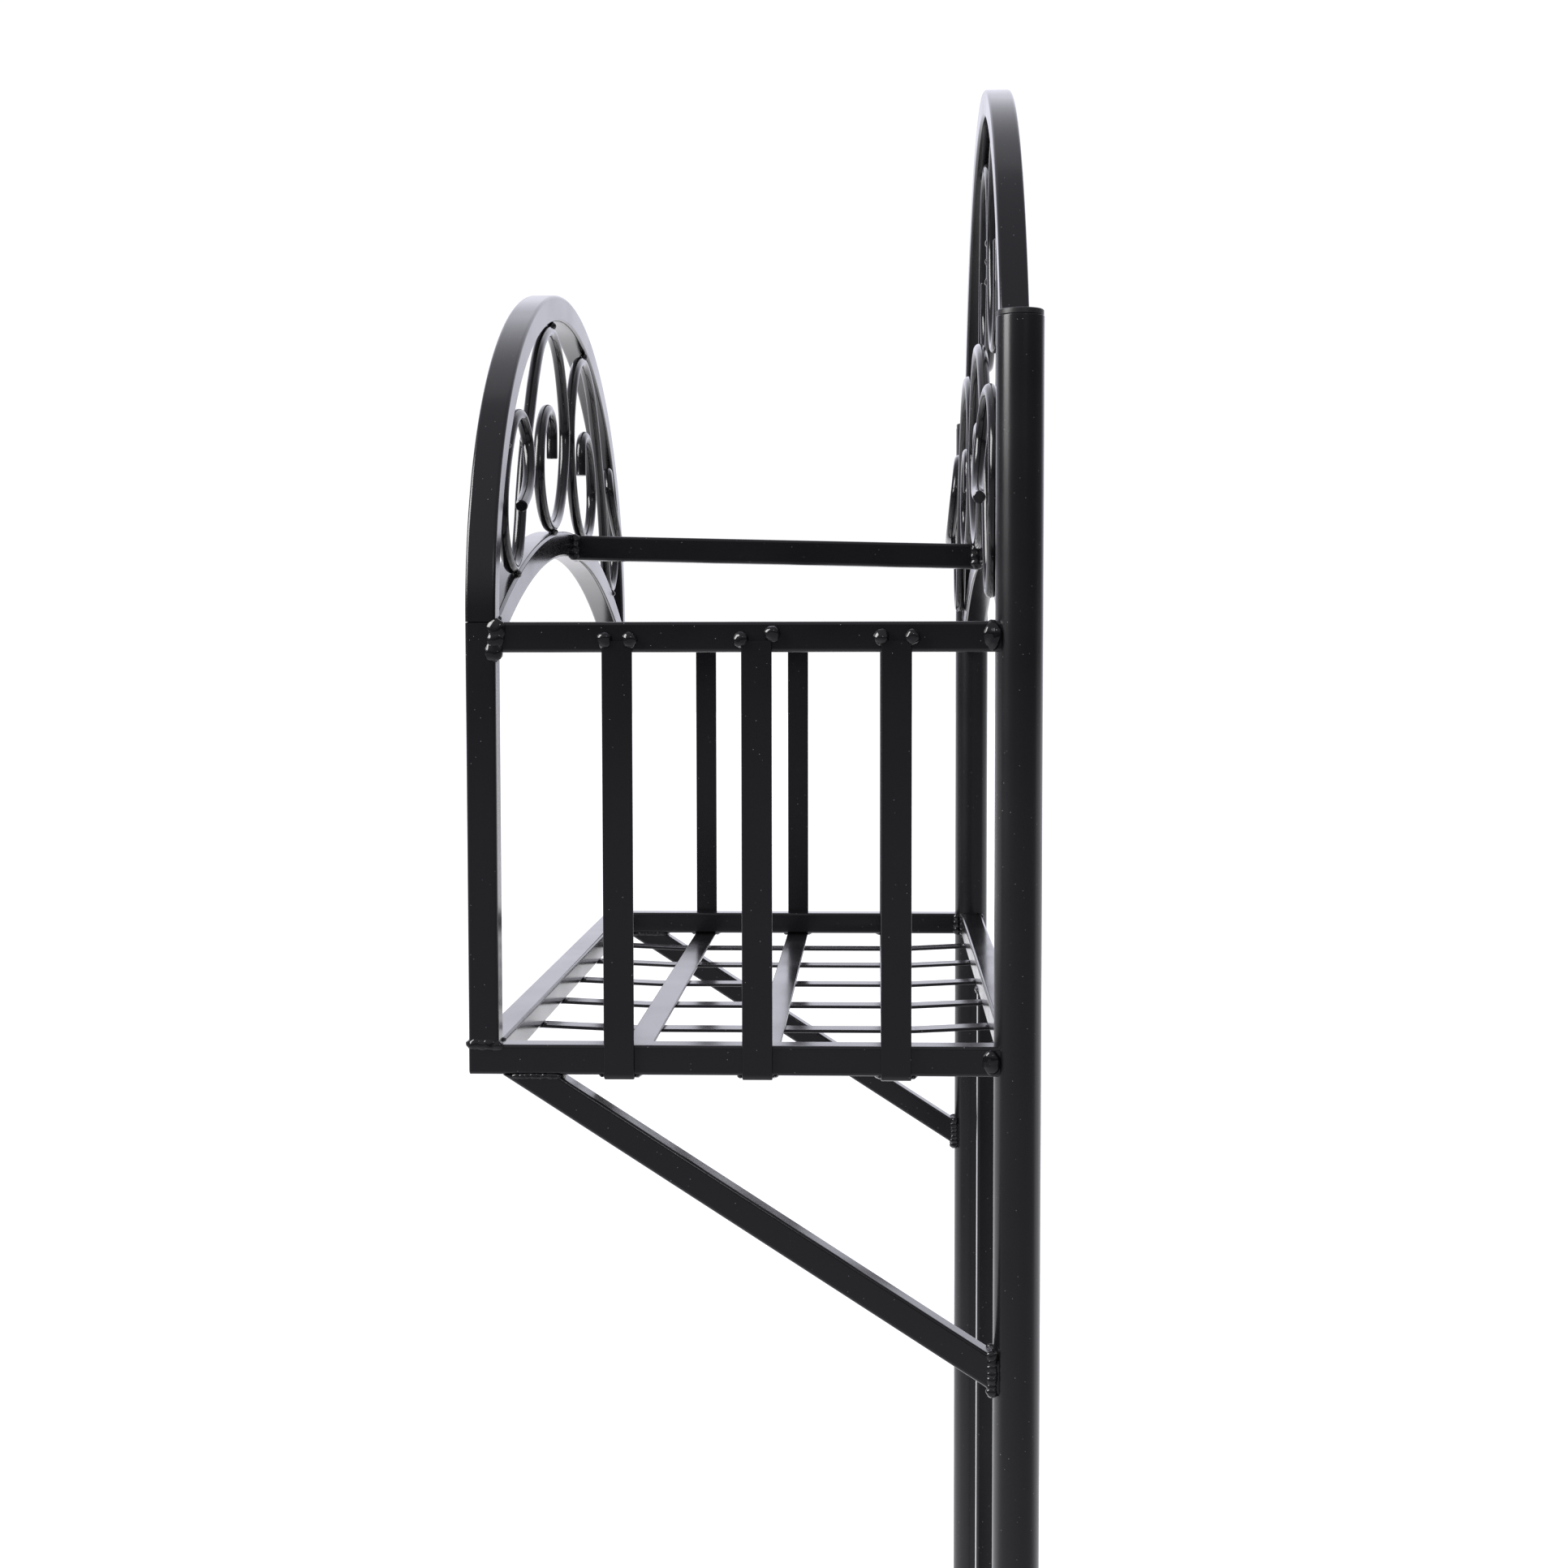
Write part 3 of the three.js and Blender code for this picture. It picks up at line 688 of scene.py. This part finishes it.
# %% Weld the basket sides
OUT_X = RAIL_X + HALF
strap_y = [middle("strap_" + p).y for p in ("front", "middle", "rear")]
strap_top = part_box("strap_front")[1].z
top_z = RAIL_TOP - HALF
low_z = BASKET_Z + HALF
for side, s in (("left", -1), ("right", 1)):
    bm = bmesh.new()
    for i, y in enumerate(strap_y):
        for j, end in enumerate((-1, 1)):
            apart = (6.4, 8.2, 8.2)[i] * MM
            up = (0.4, 0.4, 0.6, 3.6, 1.8, 1.9)[2 * i + j] * MM
            spot = Vector((s * (OUT_X + 0.9 * MM), y + end * apart, strap_top + up))
            blob(bm, spot, (3.9 * MM, 4.2 * MM, 4.5 * MM), i * 2 + j + 7 * s + 20, 0.16)
            foot = Vector((s * (RAIL_X + 1 * MM), y + end * (FLAT_W / 2 + 1 * MM), BASKET_Z))
            blob(bm, foot, (6.5 * MM, 2.6 * MM, 2.1 * MM), i + j * 3 + 40, 0.2)
    front_seam = FRONT_Y + HALF
    seam_row(bm, Vector((s * (OUT_X + 0.1 * MM), front_seam + 0.8 * MM, top_z + 4.2 * MM)),
             Vector((s * (OUT_X + 0.1 * MM), front_seam - 0.6 * MM, top_z - 7.0 * MM)),
             (2.2 * MM, 5.0 * MM, 6.0 * MM), 3, 3 + s)
    seam_row(bm, Vector((s * (RAIL_X - HALF), front_seam, top_z - 5 * MM)),
             Vector((s * (RAIL_X - HALF), front_seam, top_z + 5 * MM)),
             (1.6 * MM, 2.6 * MM, 3.4 * MM), 3, 5 + s)
    for z, tall in ((top_z + 0.6 * MM, 7.8 * MM), (low_z, 7.0 * MM)):
        blob(bm, Vector((s * (OUT_X - 1.8 * MM), -POST_R - 1.6 * MM, z)),
             (4.6 * MM, 5.4 * MM, tall), 60 + s + z * 9, 0.12, 4)
        seam_row(bm, Vector((s * (RAIL_X - HALF), -POST_R + 1 * MM, z - 5 * MM)),
                 Vector((s * (RAIL_X - HALF), -POST_R + 1 * MM, z + 5 * MM)),
                 (2.4 * MM, 3.0 * MM, 3.6 * MM), 3, 8 + s)
    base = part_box("front_leg_" + side)[0].z
    seam_row(bm, Vector((s * (OUT_X - 1.2 * MM), FRONT_Y - 4.5 * MM, base - 0.4 * MM)),
             Vector((s * (OUT_X - 1.2 * MM), FRONT_Y + 6.5 * MM, base - 0.8 * MM)),
             (2.4 * MM, 4.6 * MM, 3.3 * MM), 4, 12 + s)
    seam_row(bm, Vector((s * (RAIL_X - 6 * MM), FRONT_Y - HALF, base)),
             Vector((s * (RAIL_X + 6 * MM), FRONT_Y - HALF, base)),
             (3.0 * MM, 1.5 * MM, 1.8 * MM), 5, 14 + s)
    seam_row(bm, Vector((s * (RAIL_X - HALF), FRONT_Y - 5 * MM, low_z + HALF)),
             Vector((s * (RAIL_X - HALF), FRONT_Y + 5 * MM, low_z + HALF)),
             (2.0 * MM, 3.0 * MM, 2.0 * MM), 4, 15 + s)
    weld_piece("basket_welds_" + side, bm)

# %% [markdown]
# ### Braces and rear rail
# A brace is tacked under the side rail in the inner corner and all down its slanted end at the
# post.

# %% Weld the braces, the rear rail and the lower frame
for side, s in (("left", -1), ("right", 1)):
    bm = bmesh.new()
    low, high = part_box("brace_" + side)
    x = s * RAIL_X
    reach = HALF / math.sin(BRACE_ANGLE)
    for face in (-1, 1):
        seam_row(bm, Vector((x + face * HALF * 0.96, top.y - reach * 0.45, BASKET_Z - 0.8 * MM)),
                 Vector((x + face * HALF * 0.96, top.y + reach * 0.95, BASKET_Z - 0.8 * MM)),
                 (1.1 * MM, 3.0 * MM, 1.5 * MM), 8, 31 + s + face)
    blob(bm, Vector((x, top.y + reach + 0.5 * MM, BASKET_Z - 1.5 * MM)),
         (6.8 * MM, 3.4 * MM, 2.6 * MM), 35 + s, 0.2)
    slant = HALF / math.cos(BRACE_ANGLE)
    foot_mid = BASKET_Z - (BRACE_TOP_Y - POST_R) * math.tan(BRACE_ANGLE)
    for face in (-1, 1):
        seam_row(bm, Vector((x + face * 7.0 * MM, -POST_R - 0.6 * MM, foot_mid - slant)),
                 Vector((x + face * 7.0 * MM, -POST_R - 0.6 * MM, foot_mid + slant)),
                 (2.1 * MM, 3.2 * MM, 3.0 * MM), 7, 50 + face + s)
    seam_row(bm, Vector((x - 5 * MM, -POST_R - 1.2 * MM, foot_mid + slant)),
             Vector((x + 5 * MM, -POST_R - 1.2 * MM, foot_mid + slant)),
             (2.8 * MM, 3.2 * MM, 2.2 * MM), 4, 53 + s)
    for node in ("rear_bottom_rail", "low_cross_rail"):
        z = middle(node).z
        edge_x = s * (POST_X - POST_R - 1 * MM)
        for y in (-HALF, HALF):
            seam_row(bm, Vector((edge_x, y * 0.9, z - 6 * MM)),
                     Vector((edge_x, y * 0.9, z + 6 * MM)),
                     (3.2 * MM, 2.2 * MM, 3.0 * MM), 4, 57 + s + y * 100)
    arch_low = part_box("back_arch")[0].z
    for y in (-HALF * 0.8, HALF * 0.8):
        seam_row(bm, Vector((s * (POST_X - POST_R), y, arch_low + 4 * MM)),
                 Vector((s * (POST_X - POST_R), y, arch_low + 26 * MM)),
                 (1.9 * MM, 1.9 * MM, 3.4 * MM), 6, 63 + s + y * 100)
    weld_piece("post_welds_" + side, bm)
bm = bmesh.new()
for z, up in ((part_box("centre_bar")[1].z, 1), (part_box("centre_bar")[0].z, -1)):
    for y in (-HALF, HALF):
        seam_row(bm, Vector((-5 * MM, y * 0.97, z)), Vector((5 * MM, y * 0.97, z)),
                 (3.0 * MM, 1.9 * MM, 2.3 * MM), 4, 70 + up + y * 100)
for x_bar in [middle("floor_bar_%d" % i).x for i in FLOOR_BARS]:
    for y in (FRONT_Y + HALF, -HALF):
        blob(bm, Vector((x_bar + 5 * MM, y, BASKET_Z - 0.6 * MM)), (3 * MM, 1.7 * MM, 1.5 * MM),
             75 + x_bar * 50, 0.2)
for side in (-1, 1):
    inner = side * (RAIL_X - HALF)
    for z in (low_z - 6 * MM, low_z + 6 * MM):
        blob(bm, Vector((inner, FRONT_Y + HALF, z)), (2.2 * MM, 2.0 * MM, 3.2 * MM),
             80 + side + z, 0.2)
weld_piece("floor_welds", bm)

# %% [markdown]
# ### Panels
# A scroll is tacked where it meets an arch or its mirrored twin. You name a rough spot, and the bead
# goes to the nearest point of the rod's own line, pushed a little towards the piece it holds.


# %% Weld the panels and the tie bar
def nearest(line, spot):
    return min(line, key=lambda p: (p - spot).length)


def tack(bm, panel, side, spot, radii, seed, push=Vector()):
    place = nearest(rod_lines[panel + "_" + side], spot)
    blob(bm, place + push, radii, seed, 0.22)


for side, s in (("left", -1), ("right", 1)):
    bm = bmesh.new()
    small = (3.1 * MM, 2.9 * MM, 2.6 * MM)
    for spot, push in (
        (Vector((s * 0.08, FRONT_Y, FRONT_APEX + 0.2)), Vector((0, 1.2 * MM, ROD_R))),
        (Vector((s * 0.086, FRONT_Y, FRONT_APEX)), Vector((-s * 2 * MM, 2 * MM, -ROD_R))),
        (Vector((s * 0.237, FRONT_Y, FRONT_APEX - 0.05)), Vector((-s * 3 * MM, 2 * MM, -ROD_R))),
        (Vector((s * 0.262, FRONT_Y, FRONT_APEX + 0.05)), Vector((s * 4.5 * MM, 0, 2 * MM))),
    ):
        tack(bm, "front_scroll", side, spot, small, 90 + spot.x * 40, push)
    tack(bm, "front_scroll", side, Vector((s * 0.206, FRONT_Y + HALF, 1.242)),
         (2.2 * MM, 2.2 * MM, 2.4 * MM), 96 + s, Vector((-s * 3 * MM, -3 * MM, 0)))
    weld_piece("front_panel_welds_" + side, bm)
    bm = bmesh.new()
    for spot in (Vector((s * 0.257, 0, 1.150)), Vector((s * 0.094, 0, 1.188)),
                 Vector((s * 0.285, 0, 1.215))):
        tack(bm, "back_scroll_lower", side, spot, small, 101 + spot.x * 30, Vector((0, 3 * MM, 0)))
    tack(bm, "back_scroll_upper", side, Vector((s * 0.089, 0, 1.441)), small, 105 + s,
         Vector((0, -1 * MM, ROD_R)))
    weld_piece("back_panel_welds_" + side, bm)

bm = bmesh.new()
for k, z in enumerate((1.362, 1.375, 1.387)):
    blob(bm, Vector((0, -2 * MM, z)), (3.4 * MM, 2.6 * MM, 3.2 * MM), 112 + k, 0.2)
for end, y in ((front_end, 1), (back_end, -1)):
    for face in (-1, 1):
        seam_row(bm, end + Vector((face * HALF, y * 1.2 * MM, -4.5 * MM)),
                 end + Vector((face * HALF, y * 1.2 * MM, 4.5 * MM)),
                 (2.3 * MM, 4.2 * MM, 3.8 * MM), 3, 116 + y + face)
for side, s in (("left", -1), ("right", 1)):
    for y0, half, arc in ((FRONT_Y, RAIL_X - HALF, FRONT_ARC), (0.0, BACK_HALF - HALF, BACK_ARC)):
        z = arc_top(half, arc) - HALF
        for face in (-1, 1):
            seam_row(bm, Vector((s * half, y0 + face * HALF * 0.97, z - 6 * MM)),
                     Vector((s * half, y0 + face * HALF * 0.97, z + 5 * MM)),
                     (2.4 * MM, 1.4 * MM, 2.8 * MM), 4, 120 + s + face)
weld_piece("middle_welds", bm)

# %% [markdown]
# ## Studio
# The object is black and glossy, so what you see is mostly what it mirrors. A bright white surround
# behind and above it lights the upward faces, and the darkness on the camera's side keeps the near
# faces black. The floor is pale and glows with painted light, strongest behind the object and fading
# to no glow on the camera's side. One tall soft lamp at the front left draws the soft
# stripe down the round post.


# %% Set up the floor and the surround
def lamp(name, place, aim, size, power, colour=(1, 1, 1), size_y=None):
    data = bpy.data.lights.new(name, "AREA")
    data.energy = power
    data.color = colour
    data.size = size
    if size_y:
        data.shape = "RECTANGLE"
        data.size_y = size_y
    lamp_object = bpy.data.objects.new(name, data)
    bpy.context.scene.collection.objects.link(lamp_object)
    direction = Vector(aim) - Vector(place)
    lamp_object.matrix_world = (
        Matrix.Translation(place) @ direction.to_track_quat("-Z", "Y").to_matrix().to_4x4()
    )
    return lamp_object


world = bpy.data.worlds.new("studio surround")
bpy.context.scene.world = world
world.use_nodes = True
wn, wl = world.node_tree.nodes, world.node_tree.links
wn.clear()
out = wn.new("ShaderNodeOutputWorld")
seen, mirrored = wn.new("ShaderNodeBackground"), wn.new("ShaderNodeBackground")
seen.inputs["Color"].default_value = (1, 1, 1, 1)
seen.inputs["Strength"].default_value = 1.05
mirrored.inputs["Color"].default_value = (0.89, 0.89, 1.0, 1)
way = wn.new("ShaderNodeTexCoord")
parts = wn.new("ShaderNodeSeparateXYZ")
wl.new(way.outputs["Generated"], parts.inputs["Vector"])


def ramp(axis, low, high, dim, bright):
    node = wn.new("ShaderNodeMapRange")
    node.interpolation_type = "SMOOTHSTEP"
    sockets = ("From Min", "From Max", "To Min", "To Max")
    for socket, value in zip(sockets, (low, high, dim, bright)):
        node.inputs[socket].default_value = value
    wl.new(parts.outputs[axis], node.inputs["Value"])
    return node.outputs["Result"]


both = wn.new("ShaderNodeMath")
wl.new(ramp("X", -0.38, -0.97, 0.0, 1.2), both.inputs[0])
wl.new(ramp("Z", 0.02, 0.42, 0.08, 0.52), both.inputs[1])
wl.new(both.outputs["Value"], mirrored.inputs["Strength"])
rays = wn.new("ShaderNodeLightPath")
choice = wn.new("ShaderNodeMixShader")
wl.new(rays.outputs["Is Camera Ray"], choice.inputs["Fac"])
wl.new(mirrored.outputs["Background"], choice.inputs[1])
wl.new(seen.outputs["Background"], choice.inputs[2])
wl.new(choice.outputs["Shader"], out.inputs["Surface"])

floor_material = bpy.data.materials.new("pale studio floor")
floor_material.use_nodes = True
fn, flinks = floor_material.node_tree.nodes, floor_material.node_tree.links
floor_shader = fn["Principled BSDF"]
floor_shader.inputs["Base Color"].default_value = (0.66, 0.66, 0.67, 1)
floor_shader.inputs["Roughness"].default_value = 0.9
floor_shader.inputs["Specular IOR Level"].default_value = 0.0
floor_shader.inputs["Emission Color"].default_value = (1, 1, 1, 1)
spread = fn.new("ShaderNodeTexCoord")
across = fn.new("ShaderNodeSeparateXYZ")
flinks.new(spread.outputs["Object"], across.inputs["Vector"])
# Painted light: the floor's own glow is strongest behind the object (towards -X) and fades to none
# on the camera's side, so no lamp is needed for that fall-off.
painted_glow_fade = fn.new("ShaderNodeMapRange")
painted_glow_fade.interpolation_type = "SMOOTHSTEP"
painted_glow_fade.inputs["From Min"].default_value = 0.9
painted_glow_fade.inputs["From Max"].default_value = -0.5
painted_glow_fade.inputs["To Min"].default_value = 0.0
painted_glow_fade.inputs["To Max"].default_value = 0.85
flinks.new(across.outputs["X"], painted_glow_fade.inputs["Value"])
flinks.new(painted_glow_fade.outputs["Result"], floor_shader.inputs["Emission Strength"])
bm = bmesh.new()
bmesh.ops.create_grid(bm, x_segments=8, y_segments=8, size=40)
floor_mesh = bpy.data.meshes.new("studio_floor")
bm.to_mesh(floor_mesh)
bm.free()
floor_mesh.materials.append(floor_material)
studio_floor = bpy.data.objects.new("studio_floor", floor_mesh)
studio_floor.location.z = cad_size[0].z - 0.5 * MM
bpy.context.scene.collection.objects.link(studio_floor)

lamp("overhead softbox", (-0.9, -0.2, 2.9), (-0.1, -0.1, 1.1), 1.6, 3, (0.95, 0.96, 1.0))
lamp("big front softbox", (0.76, -1.50, 2.02), (0.31, 0.0, 1.22), 0.9, 50, size_y=1.2)
lamp("small key", (1.75, 0.62, 1.95), (0.2, -0.15, 1.05), 0.25, 1.6)

# %% [markdown]
# ## Camera
# The viewpoint is level with the basket's top rail and square to the frame's side, close enough for
# the far side to look clearly smaller. The view transform is plain, so white stays white.

# %% Place the camera
EYE = Vector((1552.17 * MM, -73.90 * MM, BASKET_Z + 224.94 * MM))
YAW, PITCH, ROLL = 0.03964, 0.05733, -0.00159
ahead_flat = Vector((-math.cos(YAW), -math.sin(YAW), 0))
right_flat = Vector((-math.sin(YAW), math.cos(YAW), 0))
ahead = ahead_flat * math.cos(PITCH) - Z * math.sin(PITCH)
upward = Z * math.cos(PITCH) + ahead_flat * math.sin(PITCH)
right = right_flat * math.cos(ROLL) + upward * math.sin(ROLL)
up_axis = upward * math.cos(ROLL) - right_flat * math.sin(ROLL)
camera_data = bpy.data.cameras.new("camera")
camera_data.lens = 54.217
camera_data.sensor_width = 36.0
camera_data.clip_start = 0.01
camera_data.clip_end = 200
camera = bpy.data.objects.new("camera", camera_data)
bpy.context.scene.collection.objects.link(camera)
turned = Matrix((right, up_axis, -ahead)).transposed().to_4x4()
camera.matrix_world = Matrix.Translation(EYE) @ turned
bpy.context.scene.camera = camera
bpy.context.scene.view_settings.view_transform = "Standard"
bpy.context.scene.view_settings.look = "None"
print("camera", [round(c, 3) for c in EYE])
